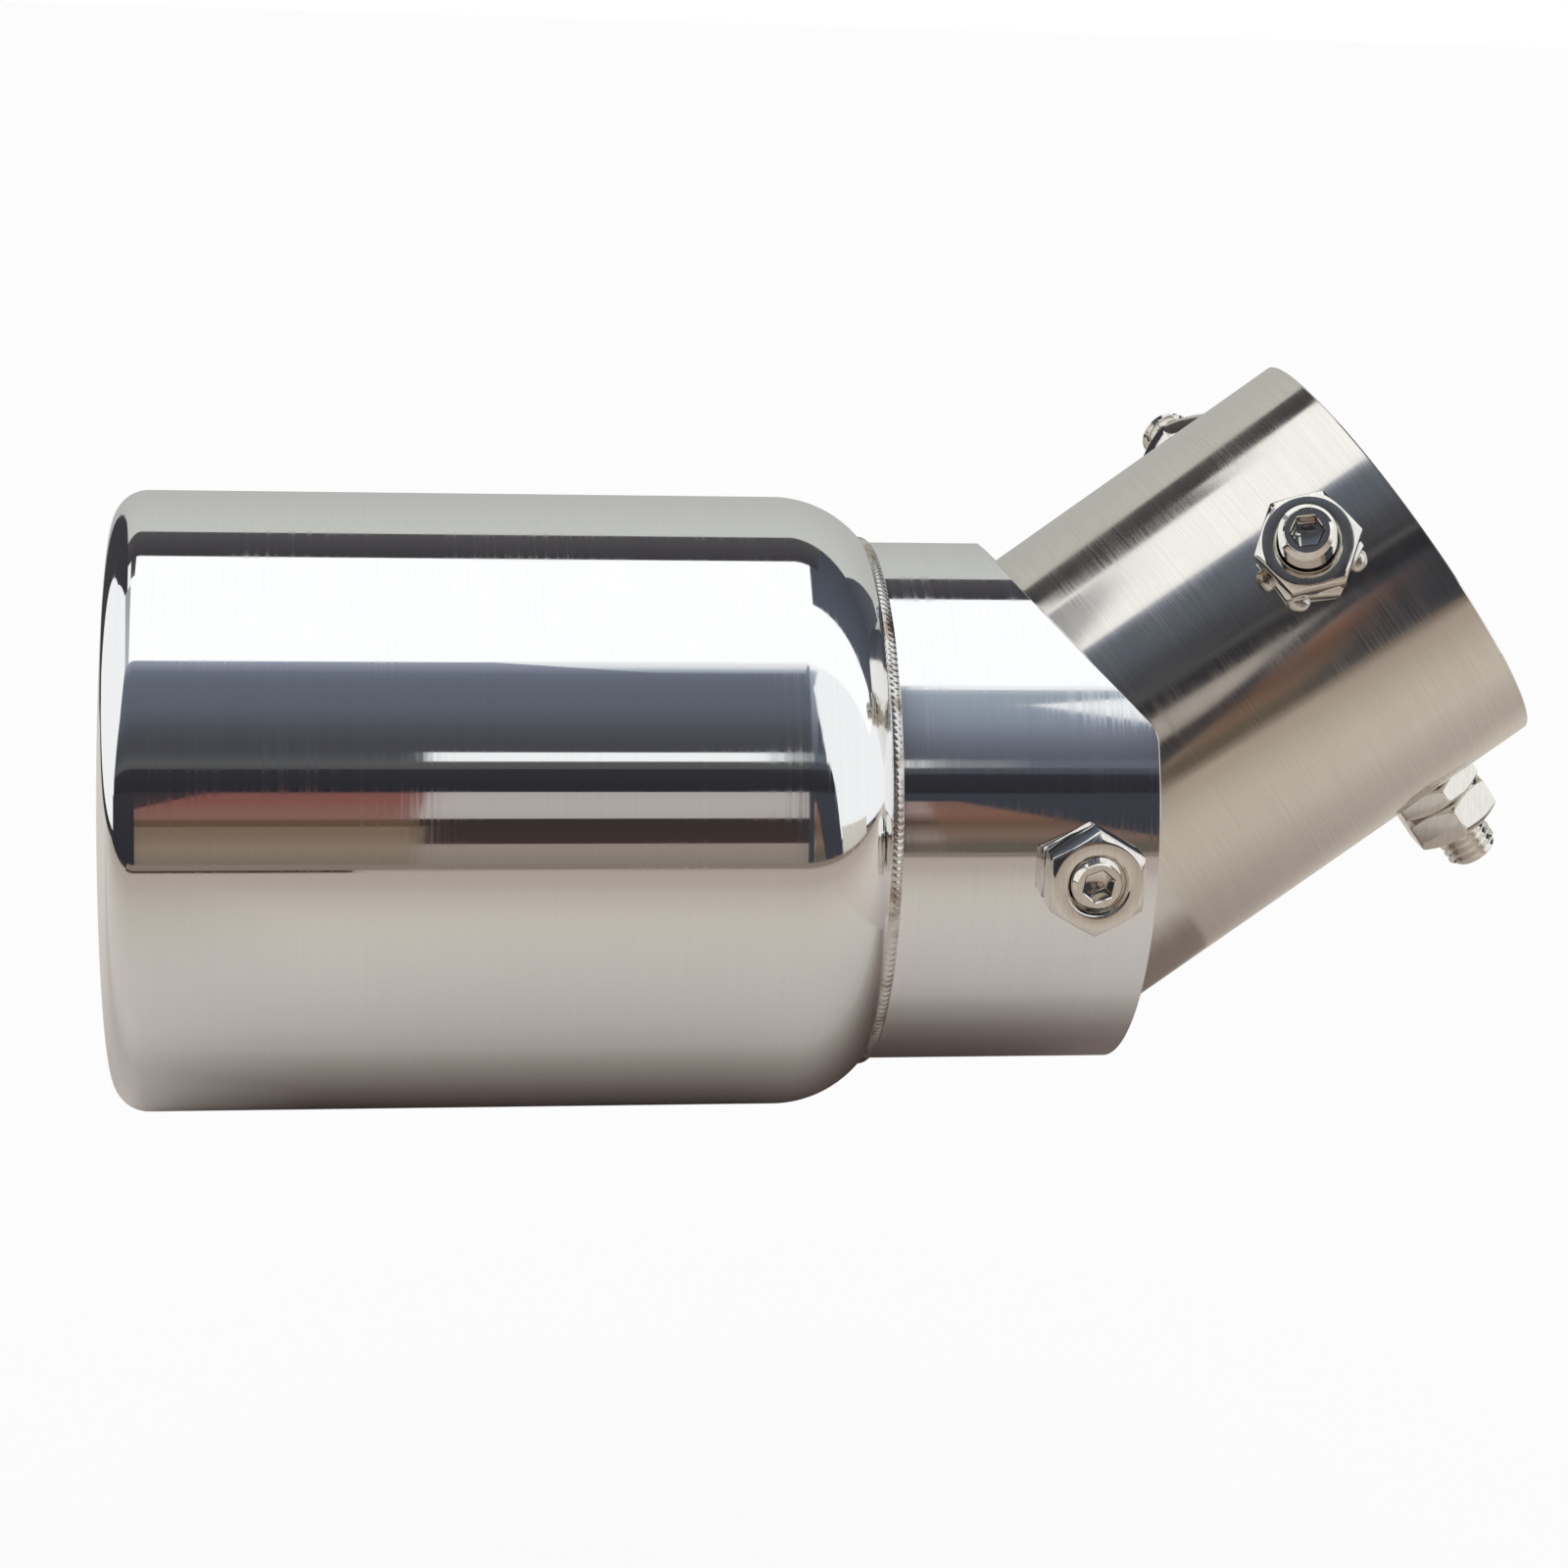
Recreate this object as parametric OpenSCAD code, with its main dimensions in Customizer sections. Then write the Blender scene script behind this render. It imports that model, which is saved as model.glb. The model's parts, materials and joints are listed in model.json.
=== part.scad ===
// Exhaust tip with an adjustable bend. A polished barrel and its collar swing about the
// inlet pipe on two set screws, and three more set screws clamp the pipe to a tail pipe.
// The origin is where the pivot axis crosses the axes of the barrel and of the pipe.
// The barrel lies along X with its mouth at -X, the pipe rises towards +X, and +Z is up.

/* [Barrel] */
// Outer diameter of the barrel
barrel_d = 89; // [84:1:110]
// Length of the barrel, from its mouth to the weld round the collar
barrel_l = 107.3; // [60:0.1:200]
// Thickness of the barrel's sheet
barrel_wall = 1.2; // [0.8:0.1:2]
// Outer radius of the lip that is rolled in round the mouth
lip_r = 4.9; // [3:0.1:8]
// Length of the straight skirt that the rolled lip ends in
lip_skirt = 8; // [2:0.5:20]
// Outer radius of the shoulder that closes the barrel in to the collar
shoulder_r = 15.9; // [8:0.1:25]

/* [Collar] */
// Thickness of the collar's sheet
collar_wall = 1; // [0.8:0.1:1.5]
// Length of the collar from the weld to the pivot axis
collar_front = 27.1; // [22:0.1:50]
// Length of the collar from the pivot axis to its square end
collar_back = 9.7; // [8.5:0.1:14]
// Length of the collar that stands inside the barrel's shoulder
collar_lap = 3; // [2:0.5:8]
// Slope of the slanted cut over the pipe, in degrees below level
slant = 44; // [38:1:55]
// Radius of the corner between the slanted cut and the square end
slant_corner_r = 4; // [2:0.5:8]
// Radius of the weld bead between the barrel and the collar
bead_r = 1.2; // [0.8:0.1:2]
// How deep the middle of that bead lies under its corner
bead_sink = 0.4; // [0.2:0.1:0.6]

/* [Inlet pipe] */
// Bore of the pipe
pipe_bore = 63; // [50:1:68]
// Thickness of the pipe's wall
pipe_wall = 1; // [0.8:0.1:1.5]
// Length of the pipe from the pivot axis to its outer end
pipe_out = 65; // [55:1:120]
// Length of the pipe from the pivot axis to its inner end
pipe_in = 12; // [9:0.5:14]
// Bevel on the edges of the pipe's ends
pipe_deburr = 0.2; // [0.1:0.05:0.4]
// Bend between the barrel and the pipe at rest, in degrees
bend = 36.6; // [20:0.1:45]
// Distance of the clamp screws from the pipe's outer end
clamp_inset = 14.8; // [10:0.1:25]

/* [Nuts and set screws] */
// Outer diameter of the thread on the set screws
screw_d = 7.9; // [6:0.1:8.5]
// Length of the clamp screws
clamp_screw_l = 16; // [12:1:25]
// Bevel round both ends of a set screw
screw_bevel = 0.9; // [0.3:0.1:1.2]
// Width across the flats of the socket in a set screw
socket_af = 4; // [3:0.5:4.5]
// Depth of that socket
socket_depth = 4; // [2.5:0.5:6]
// Radius of the cup in the inner end of a set screw
cup_r = 2.5; // [1.5:0.1:2.8]
// Width across the flats of the nuts
nut_af = 13; // [11:0.5:14]
// Diameter of a nut's flat face, inside its corner bevels
nut_face_d = 12.35; // [10:0.05:12.5]
// Slope of the bevels on a nut's corners, in degrees
nut_bevel = 30; // [15:5:40]
// Width of the countersinks in a nut
nut_sink = 0.5; // [0.2:0.1:0.8]
// Height of the nuts that are welded to the pipe
weld_nut_h = 3.7; // [3:0.1:5]
// Height of the lock nuts
lock_nut_h = 5.6; // [4:0.1:7]
// Radius of the tack welds round a welded nut
tack_r = 1.3; // [0.8:0.1:1.8]

/* [Clearances] */
// Gap between a set screw's thread and its nuts, on the radius
thread_play = 0.05; // [0.02:0.01:0.1]
// Gap between a pivot screw and its hole in the collar, on the radius
pivot_play = 0.06; // [0.02:0.01:0.1]
// Gap between a set screw and its hole in the pipe, on the radius
hole_play = 0.3; // [0.1:0.05:0.5]
// Gap between the collar and the barrel's shoulder, on the radius
lap_play = 0.05; // [0:0.01:0.2]
// Gap between the collar and the faces of the welded nuts that swing inside it
swing_gap = 0.28; // [0.15:0.01:1]
// Gap between the pipe and the slanted cut at rest
stop_gap = 0.15; // [0.1:0.01:0.5]
// Gap between the collar and the lock nuts on the pivot screws
seat_gap = 0.1; // [0.05:0.05:0.3]
// How far a pivot screw stands out of its lock nut
pivot_proud = 0.3; // [0:0.1:2]
// How far the pivot screws' ends stay outside the pipe's bore
pivot_tip_back = 0.5; // [0.2:0.1:0.8]
// How far the clamp screws' ends stay outside the pipe's bore at rest
clamp_tip_back = 0.1; // [0.05:0.05:0.8]

/* [Hidden] */
$fn = 96;
// Steps round the pipe where a small weld has to sit true on it
fine_fn = 720;
eps = 0.01;
far = 200;

barrel_r = barrel_d / 2;
pipe_bore_r = pipe_bore / 2;
pipe_r = pipe_bore_r + pipe_wall;
screw_r = screw_d / 2;
nut_face_r = nut_face_d / 2;

// The collar's bore is what the faces of the welded pivot nuts need as they swing in it.
collar_bore_r = norm([pipe_r + weld_nut_h + swing_gap, nut_face_r]);
collar_r = collar_bore_r + collar_wall;

// Places along the barrel's axis
weld_x = -collar_front;
mouth_x = weld_x - barrel_l;
lip_x = mouth_x + lip_r;
shoulder_rise = max(0, collar_r - (barrel_r - shoulder_r));
shoulder_x = weld_x - sqrt(pow(shoulder_r, 2) - pow(shoulder_rise, 2));

// The slanted plane that passes the pipe's surface at the stop gap. The pipe is nearest
// to the edge of the collar's bore part way down the cut, on both sides.
slant_ratio = sin(slant + bend) / sin(slant);
slant_reach = sin(slant) / sin(bend)
    * sqrt((pow(slant_ratio, 2) - 1) * (pow(collar_bore_r, 2) - pow(pipe_r + stop_gap, 2)));
slant_x = collar_back - slant_corner_r;
slant_z = (slant_reach - slant_corner_r - slant_x * sin(slant)) / cos(slant);

// Places along the pipe and the stacks of nuts on it
clamp_at = pipe_out - clamp_inset;
clamp_angles = [30, 150, 270];
clamp_screw_top = clamp_tip_back + clamp_screw_l - pipe_wall;
pivot_nut_base = collar_r + seat_gap;
pivot_screw_end = pivot_nut_base + lock_nut_h + pivot_proud;
pivot_screw_l = pivot_screw_end - pipe_bore_r - pivot_tip_back;

// Turns of the nuts and sockets about their own axes, in degrees
flats_along_pipe = 30;
lock_nut_turns = [38, 24, 32];
clamp_socket_turns = [30, 12, 48];
pivot_socket_turns = [20, 44];
tack_angles = [5, 318, 175, 222];
RIGHT = 0;
LEFT = 1;
LOWER = 2;

POLISHED = "#c9ccd0";
SATIN = "#a9a69f";
NICKEL = "#d6d2c4";
WELD = "#8f8c88";

// How far a cylinder's surface falls away at a distance to the side of its crown
function fall(r, side) = r - sqrt(pow(r, 2) - pow(side, 2));

// Turns a shape that stands on Z about the barrel's axis
module along_barrel() {
    rotate([0, 90, 0]) children();
}

// Places a shape in the pipe's own frame, where X runs out along the pipe
module on_pipe() {
    rotate([0, -bend, 0]) children();
}

// The crown of the pipe under one clamp stack, with Z pointing out
module clamp_seat(place) {
    on_pipe() translate([clamp_at, 0, 0]) rotate([90 - clamp_angles[place], 0, 0])
        translate([0, 0, pipe_r]) children();
}

// The pivot axis with Z pointing out on one side
module pivot_side(place) {
    rotate([place == RIGHT ? 90 : -90, 0, 0]) children();
}

// One quarter or half of a ring of sheet, drawn as radius and place along the axis
module ring_part(outer, wall, low, high) {
    intersection() {
        difference() {
            circle(outer);
            circle(outer - wall);
        }
        translate(low) square(high - low);
    }
}

// The lip rolls in through half a turn and ends in a straight skirt
module lip_section() {
    translate([barrel_r - lip_r, lip_x])
        ring_part(lip_r, barrel_wall, [-lip_r - 1, -lip_r - 1], [lip_r + 1, 0]);
    translate([barrel_r - 2 * lip_r, lip_x]) square([barrel_wall, lip_skirt]);
}

// The shoulder curves in to the collar, and goes on flat if its curve ends short of it
module shoulder_section() {
    hole_r = collar_r + lap_play;
    curve_r = barrel_r - shoulder_r;
    translate([curve_r, shoulder_x])
        ring_part(shoulder_r, barrel_wall, [max(0, hole_r - curve_r), 0], [shoulder_r + 1, shoulder_r + 1]);
    if (hole_r < curve_r)
        translate([hole_r, shoulder_x + shoulder_r - barrel_wall]) square([curve_r - hole_r, barrel_wall]);
}

module barrel() {
    color(POLISHED) along_barrel() rotate_extrude() {
        lip_section();
        translate([barrel_r - barrel_wall, lip_x]) square([barrel_wall, shoulder_x - lip_x]);
        shoulder_section();
    }
}

// What the slanted cut and its round corner take off the collar
module slant_cut() {
    rotate([90, 0, 0]) translate([0, 0, -far / 2]) difference() {
        linear_extrude(far) polygon([
            [slant_x, slant_z] + slant_corner_r * [sin(slant), cos(slant)] - far * [cos(slant), -sin(slant)],
            [slant_x, slant_z] + slant_corner_r * [sin(slant), cos(slant)],
            [slant_x + slant_corner_r, slant_z],
            [slant_x + slant_corner_r + eps, slant_z],
            [far, slant_z],
            [far, far]
        ]);
        translate([slant_x, slant_z, -eps]) cylinder(r = slant_corner_r, h = far + 2 * eps);
    }
}

module collar() {
    color(POLISHED) difference() {
        along_barrel() translate([0, 0, weld_x - collar_lap])
            cylinder(r = collar_r, h = collar_lap + collar_front + collar_back);
        along_barrel() translate([0, 0, weld_x - collar_lap - eps])
            cylinder(r = collar_bore_r, h = collar_lap + collar_front + collar_back + 2 * eps);
        slant_cut();
        rotate([90, 0, 0]) cylinder(r = screw_r + pivot_play, h = far, center = true);
    }
}

// The bead lies in the corner between the shoulder and the collar
module barrel_weld() {
    shoulder_lean = asin(shoulder_rise / shoulder_r);
    corner_lean = (90 - shoulder_lean) / 2;
    color(WELD) along_barrel() rotate_extrude() difference() {
        translate([collar_r, weld_x] - bead_sink * [cos(corner_lean), sin(corner_lean)]) circle(bead_r);
        translate([barrel_r - shoulder_r, shoulder_x]) circle(shoulder_r);
        translate([0, weld_x - far / 2]) square([collar_r, far]);
    }
}

module inlet_pipe() {
    outer = pipe_r;
    inner = pipe_bore_r;
    color(SATIN) on_pipe() difference() {
        along_barrel() rotate_extrude() polygon([
            [inner + pipe_deburr, -pipe_in], [outer - pipe_deburr, -pipe_in],
            [outer, pipe_deburr - pipe_in], [outer, pipe_out - pipe_deburr],
            [outer - pipe_deburr, pipe_out], [inner + pipe_deburr, pipe_out],
            [inner, pipe_out - pipe_deburr], [inner, pipe_deburr - pipe_in]
        ]);
        for (angle = clamp_angles)
            translate([clamp_at, 0, 0]) rotate([90 - angle, 0, 0])
                cylinder(r = screw_r + hole_play, h = far);
        rotate([90, 0, 0]) cylinder(r = screw_r + hole_play, h = far, center = true);
    }
}

// A hexagon with bevelled corners and no bore, standing on Z
module nut_blank(height) {
    corner_r = nut_af / 2 / cos(30);
    beyond = corner_r + 1;
    drop = (beyond - nut_face_r) * tan(nut_bevel);
    intersection() {
        cylinder(r = corner_r, h = height, $fn = 6);
        rotate_extrude() polygon([
            [0, 0], [nut_face_r, 0], [beyond, drop],
            [beyond, height - drop], [nut_face_r, height], [0, height]
        ]);
    }
}

module nut(height, turn) {
    bore_r = screw_r + thread_play;
    mouth_r = bore_r + nut_sink + eps;
    color(NICKEL) difference() {
        rotate(turn) nut_blank(height);
        rotate_extrude() polygon([
            [0, -eps], [mouth_r, -eps], [bore_r, nut_sink],
            [bore_r, height - nut_sink], [mouth_r, height + eps], [0, height + eps]
        ]);
    }
}

// A socket set screw that reaches down from its outer end at Z = 0
module set_screw(length, turn) {
    socket_r = socket_af / 2 / cos(30);
    point_r = 0.4 * socket_af;
    color(NICKEL) difference() {
        rotate_extrude() polygon([
            [0, 0], [screw_r - screw_bevel, 0], [screw_r, -screw_bevel],
            [screw_r, screw_bevel - length], [screw_r - screw_bevel, -length], [0, -length]
        ]);
        rotate(turn) translate([0, 0, -socket_depth])
            cylinder(r = socket_r, h = socket_depth + eps, $fn = 6);
        translate([0, 0, -socket_depth - point_r / 2]) cylinder(r1 = 0, r2 = point_r, h = point_r / 2 + eps);
        translate([0, 0, -length - eps]) cylinder(r1 = cup_r, r2 = 0, h = cup_r);
    }
}

// One tack weld at an angle round the foot of a nut, in the corner between nut and pipe
module tack_weld(angle) {
    ring = nut_af / 2 + tack_r / 4;
    side = ring * sin(angle);
    difference() {
        translate([ring * cos(angle), side, tack_r / 4 - fall(pipe_r, side)]) sphere(tack_r);
        rotate(flats_along_pipe) nut_blank(weld_nut_h);
        translate([0, 0, -pipe_r]) rotate([0, 90, 0])
            cylinder(r = pipe_r, h = 4 * ring, center = true, $fn = fine_fn);
    }
}

module tack_welds() {
    color(WELD) for (angle = tack_angles) tack_weld(angle);
}

module clamp_nut(place) {
    clamp_seat(place) nut(weld_nut_h, flats_along_pipe);
}

module clamp_nut_weld(place) {
    clamp_seat(place) tack_welds();
}

module lock_nut(place) {
    clamp_seat(place) translate([0, 0, weld_nut_h]) nut(lock_nut_h, lock_nut_turns[place]);
}

module clamp_screw(place) {
    clamp_seat(place) translate([0, 0, clamp_screw_top])
        set_screw(clamp_screw_l, clamp_socket_turns[place]);
}

module pivot_nut(place) {
    on_pipe() pivot_side(place) translate([0, 0, pipe_r]) nut(weld_nut_h, flats_along_pipe);
}

module pivot_nut_weld(place) {
    on_pipe() pivot_side(place) translate([0, 0, pipe_r]) tack_welds();
}

module pivot_lock_nut(place) {
    pivot_side(place) translate([0, 0, pivot_nut_base]) nut(lock_nut_h, flats_along_pipe);
}

module pivot_screw(place) {
    pivot_side(place) translate([0, 0, pivot_screw_end])
        set_screw(pivot_screw_l, pivot_socket_turns[place]);
}

barrel();
collar();
barrel_weld();
inlet_pipe();
clamp_nut(RIGHT);  // clamp_nut_right
clamp_nut(LEFT);  // clamp_nut_left
clamp_nut(LOWER);  // clamp_nut_lower
clamp_nut_weld(RIGHT);  // clamp_nut_weld_right
clamp_nut_weld(LEFT);  // clamp_nut_weld_left
clamp_nut_weld(LOWER);  // clamp_nut_weld_lower
lock_nut(RIGHT);  // lock_nut_right
lock_nut(LEFT);  // lock_nut_left
lock_nut(LOWER);  // lock_nut_lower
clamp_screw(RIGHT);  // clamp_screw_right
clamp_screw(LEFT);  // clamp_screw_left
clamp_screw(LOWER);  // clamp_screw_lower
pivot_nut(RIGHT);  // pivot_nut_right
pivot_nut(LEFT);  // pivot_nut_left
pivot_nut_weld(RIGHT);  // pivot_nut_weld_right
pivot_nut_weld(LEFT);  // pivot_nut_weld_left
pivot_lock_nut(RIGHT);  // pivot_lock_nut_right
pivot_lock_nut(LEFT);  // pivot_lock_nut_left
pivot_screw(RIGHT);  // pivot_screw_right
pivot_screw(LEFT);  // pivot_screw_left
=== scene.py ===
"""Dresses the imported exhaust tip: mirror polished barrel and collar, satin inlet pipe, bright hardware."""
import json
import logging
from collections.abc import Callable
from dataclasses import dataclass
from enum import Enum
from math import acos, atan2, cos, degrees, hypot, pi, radians, sin, sqrt, tan

import bmesh
import bpy
from mathutils import Matrix, Quaternion, Vector, noise


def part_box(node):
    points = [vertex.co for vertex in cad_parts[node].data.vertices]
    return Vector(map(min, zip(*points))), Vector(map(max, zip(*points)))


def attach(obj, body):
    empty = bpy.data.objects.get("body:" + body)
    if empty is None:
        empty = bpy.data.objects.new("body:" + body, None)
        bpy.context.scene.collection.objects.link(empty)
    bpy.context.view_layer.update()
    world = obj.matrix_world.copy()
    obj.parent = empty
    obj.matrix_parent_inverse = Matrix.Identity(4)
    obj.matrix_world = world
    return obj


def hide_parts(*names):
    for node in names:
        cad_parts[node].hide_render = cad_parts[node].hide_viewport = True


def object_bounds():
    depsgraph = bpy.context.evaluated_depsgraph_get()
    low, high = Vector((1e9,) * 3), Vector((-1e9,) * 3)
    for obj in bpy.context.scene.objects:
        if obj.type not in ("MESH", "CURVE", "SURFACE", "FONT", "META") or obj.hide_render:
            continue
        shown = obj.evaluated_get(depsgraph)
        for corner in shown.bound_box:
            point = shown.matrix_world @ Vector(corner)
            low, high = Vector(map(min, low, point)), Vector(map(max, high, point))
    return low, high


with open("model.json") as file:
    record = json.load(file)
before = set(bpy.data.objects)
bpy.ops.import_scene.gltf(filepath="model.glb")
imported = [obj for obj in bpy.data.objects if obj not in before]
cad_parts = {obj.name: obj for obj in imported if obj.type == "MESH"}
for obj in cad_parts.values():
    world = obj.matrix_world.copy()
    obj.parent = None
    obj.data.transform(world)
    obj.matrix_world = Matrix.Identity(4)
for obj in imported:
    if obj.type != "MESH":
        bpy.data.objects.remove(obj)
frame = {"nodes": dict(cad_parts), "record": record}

CAD_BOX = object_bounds()
LOG = logging.getLogger("exhaust_tip")
MM = 0.001
FULL_TURN = 2 * pi
# Points closer than this are one point
WELD_DISTANCE = 1e-7
# Slack for joining a thread's turns and for finding a screw's ends
SLACK = 1e-6
# Edges that turn more than this stay crisp
CRISP_DEG = 32.0
# Faces that stand this square to a tube's radius, as a cosine, belong to its round walls
ROUND_WALL = 0.995

Colour = tuple[float, float, float, float]
Point = tuple[float, float]
# A place, as an angle or a length, and the colour there
Shade = tuple[float, str]


class Side(Enum):
    """Where a stack of nuts sits, with its angle round the pipe in degrees."""

    RIGHT = 30
    LEFT = 150
    LOWER = 270

    @property
    def word(self) -> str:
        """The side's name as the pieces use it."""
        return self.name.lower()


def linear(code: str) -> Colour:
    """Turns an sRGB colour to a linear one.

    Args:
        code: The colour as a hash sign and six hex digits.

    Returns:
        Red, green, blue and a full alpha.
    """
    channels = [int(code[i:i + 2], 16) / 255 for i in (1, 3, 5)]
    red, green, blue = [c / 12.92 if c <= 0.04045 else ((c + 0.055) / 1.055) ** 2.4 for c in channels]
    return red, green, blue, 1.0


def add_node(tree: bpy.types.NodeTree, kind: str, settings: dict | None = None,
             links: dict | None = None) -> bpy.types.Node:
    """Adds a shader node.

    Args:
        tree: The node tree that gets it.
        kind: The node's type.
        settings: Values by the name of a property or socket, or by a socket's number.
        links: Output sockets by the name or number of the input that each one feeds.

    Returns:
        The new node.
    """
    node = tree.nodes.new(kind)
    for key, value in (settings or {}).items():
        if isinstance(key, str) and hasattr(node, key):
            setattr(node, key, value)
        else:
            node.inputs[key].default_value = value
    for key, output in (links or {}).items():
        tree.links.new(output, node.inputs[key])
    return node


def spread(low: float, high: float) -> dict[str, float]:
    """The settings of a Map Range node that spreads these values over 0 to 1."""
    return {"From Min": low, "From Max": high}


def new_material(name: str) -> tuple[bpy.types.Material, bpy.types.NodeTree]:
    """Makes an empty material.

    Args:
        name: The material's name.

    Returns:
        The material and its node tree.
    """
    material = bpy.data.materials.new(name)
    material.use_nodes = True
    material.node_tree.nodes.clear()
    return material, material.node_tree


@dataclass(frozen=True)
class WorkedMetal:
    """A bare or plated metal whose grinding or polishing left lines in one direction."""

    name: str
    bright: str
    dull: str
    roughness_low: float
    roughness_high: float
    line_mm: float
    line_length_mm: float
    bump_um: float
    cloud_mm: float
    # Lines deeper than this show as scratches, from 0 for every line to 1 for none
    scratch_from: float = 0.5
    # Slope of the piece that the lines run round, in degrees above level
    rise_deg: float = 0.0
    # Noise values between which scratches fade in, a cloud forms and a line goes from dull to bright
    scratch_fade: float = 0.2
    cloud_range: Point = (0.38, 0.64)
    tone_range: Point = (0.3, 0.7)

    def material(self) -> bpy.types.Material:
        """Builds the finish.

        Returns:
            A metal with fine lines round its axis and slow clouds in its gloss.
        """
        material, tree = new_material(self.name)
        place = add_node(tree, "ShaderNodeTexCoord").outputs["Object"]
        turned = add_node(tree, "ShaderNodeMapping", {"Rotation": (0, radians(self.rise_deg), 0)},
                          {"Vector": place})
        across, along = 1 / (self.line_mm * MM), 1 / (self.line_length_mm * MM)
        stretched = add_node(tree, "ShaderNodeMapping", {"Scale": (across, along, along)},
                             {"Vector": turned.outputs["Vector"]})
        lines = add_node(tree, "ShaderNodeTexNoise", {"Scale": 1.0, "Detail": 3.0, "Roughness": 0.65},
                         {"Vector": stretched.outputs["Vector"]})
        clouds = add_node(tree, "ShaderNodeTexNoise", {"Scale": 1 / (self.cloud_mm * MM), "Detail": 2.0},
                          {"Vector": place})
        scratches = add_node(tree, "ShaderNodeMapRange",
                             spread(self.scratch_from, self.scratch_from + self.scratch_fade),
                             {"Value": lines.outputs["Fac"]})
        patches = add_node(tree, "ShaderNodeMapRange", spread(*self.cloud_range), {"Value": clouds.outputs["Fac"]})
        both = add_node(tree, "ShaderNodeMath", {"operation": "MULTIPLY"},
                        {0: scratches.outputs["Result"], 1: patches.outputs["Result"]})
        tone = add_node(tree, "ShaderNodeMapRange", spread(*self.tone_range), {"Value": lines.outputs["Fac"]})
        colour = add_node(tree, "ShaderNodeMix", {"data_type": "RGBA"}, {"Factor": tone.outputs["Result"]})
        colour.inputs[6].default_value = linear(self.dull)
        colour.inputs[7].default_value = linear(self.bright)
        gloss = add_node(tree, "ShaderNodeMapRange",
                         {"To Min": self.roughness_low, "To Max": self.roughness_high},
                         {"Value": both.outputs["Value"]})
        relief = add_node(tree, "ShaderNodeBump", {"Strength": 1.0, "Distance": self.bump_um * MM * MM},
                          {"Height": lines.outputs["Fac"]})
        surface = add_node(tree, "ShaderNodeBsdfPrincipled", {"Metallic": 1.0},
                           {"Base Color": colour.outputs[2], "Roughness": gloss.outputs["Result"],
                            "Normal": relief.outputs["Normal"]})
        add_node(tree, "ShaderNodeOutputMaterial", links={"Surface": surface.outputs["BSDF"]})
        return material


@dataclass(frozen=True)
class WeldMetal:
    """Stainless weld metal as it froze, with straw and brown heat tint in patches."""

    name: str = "weld_bead_stainless"
    bare: str = "#dcdad6"
    tint: str = "#8a7763"
    patch_mm: float = 5.0
    grain_mm: float = 0.35
    bump_um: float = 12.0
    roughness: float = 0.22
    # Noise values between which the heat tint sets in
    tint_range: Point = (0.52, 0.68)

    def material(self) -> bpy.types.Material:
        """Builds the finish.

        Returns:
            A metal, duller than the sheet beside it, with tinted patches and a fine grain.
        """
        material, tree = new_material(self.name)
        place = add_node(tree, "ShaderNodeTexCoord").outputs["Object"]
        patches = add_node(tree, "ShaderNodeTexNoise", {"Scale": 1 / (self.patch_mm * MM), "Detail": 3.0},
                           {"Vector": place})
        heat = add_node(tree, "ShaderNodeMapRange", spread(*self.tint_range), {"Value": patches.outputs["Fac"]})
        colour = add_node(tree, "ShaderNodeMix", {"data_type": "RGBA"}, {"Factor": heat.outputs["Result"]})
        colour.inputs[6].default_value = linear(self.bare)
        colour.inputs[7].default_value = linear(self.tint)
        grain = add_node(tree, "ShaderNodeTexNoise", {"Scale": 1 / (self.grain_mm * MM), "Detail": 2.0},
                         {"Vector": place})
        relief = add_node(tree, "ShaderNodeBump", {"Strength": 1.0, "Distance": self.bump_um * MM * MM},
                          {"Height": grain.outputs["Fac"]})
        surface = add_node(tree, "ShaderNodeBsdfPrincipled", {"Metallic": 1.0, "Roughness": self.roughness},
                           {"Base Color": colour.outputs[2], "Normal": relief.outputs["Normal"]})
        add_node(tree, "ShaderNodeOutputMaterial", links={"Surface": surface.outputs["BSDF"]})
        return material


# Mirror polish: the eye sees sharp reflections, with fine buffing lines that haze what lies beside bright ones
MIRROR_STAINLESS = WorkedMetal("mirror_polished_stainless", "#f0f1f2", "#edeeef", 0.03, 0.11,
                               0.45, 34.0, 0.03, 24.0, scratch_from=0.42)
# Hand buffed sleeve: the same polish with more of the buffing lines left, so bright reflections spread further
BUFFED_STAINLESS = WorkedMetal("hand_buffed_stainless", "#f0f1f3", "#ebedf0", 0.04, 0.12,
                               0.5, 30.0, 0.05, 14.0, scratch_from=0.4)
# Linished tube: soft reflections that smear along the pipe, across the belt's lines
SATIN_STAINLESS = WorkedMetal("linished_stainless_tube", "#eae7e1", "#dedbd4", 0.10, 0.18,
                              0.22, 16.0, 0.7, 12.0, scratch_from=0.35, rise_deg=36.6)
# Bright nickel: clean, silvery and glossy, with slight turning marks
BRIGHT_NICKEL = WorkedMetal("bright_nickel_plate", "#eeece7", "#dfdcd4", 0.06, 0.16,
                            0.35, 3.0, 0.5, 4.0)


def arc(centre: Point, radius: float, start_deg: float, end_deg: float, steps: int) -> list[Point]:
    """Lays points on an arc of a section.

    Args:
        centre: The arc's centre as radius and height.
        radius: The arc's own radius.
        start_deg: Where it starts, from the outward direction towards the height.
        end_deg: Where it ends.
        steps: How many straight pieces it has.

    Returns:
        The points from start to end.
    """
    turns = [radians(start_deg + (end_deg - start_deg) * i / steps) for i in range(steps + 1)]
    return [(centre[0] + radius * cos(t), centre[1] + radius * sin(t)) for t in turns]


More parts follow.
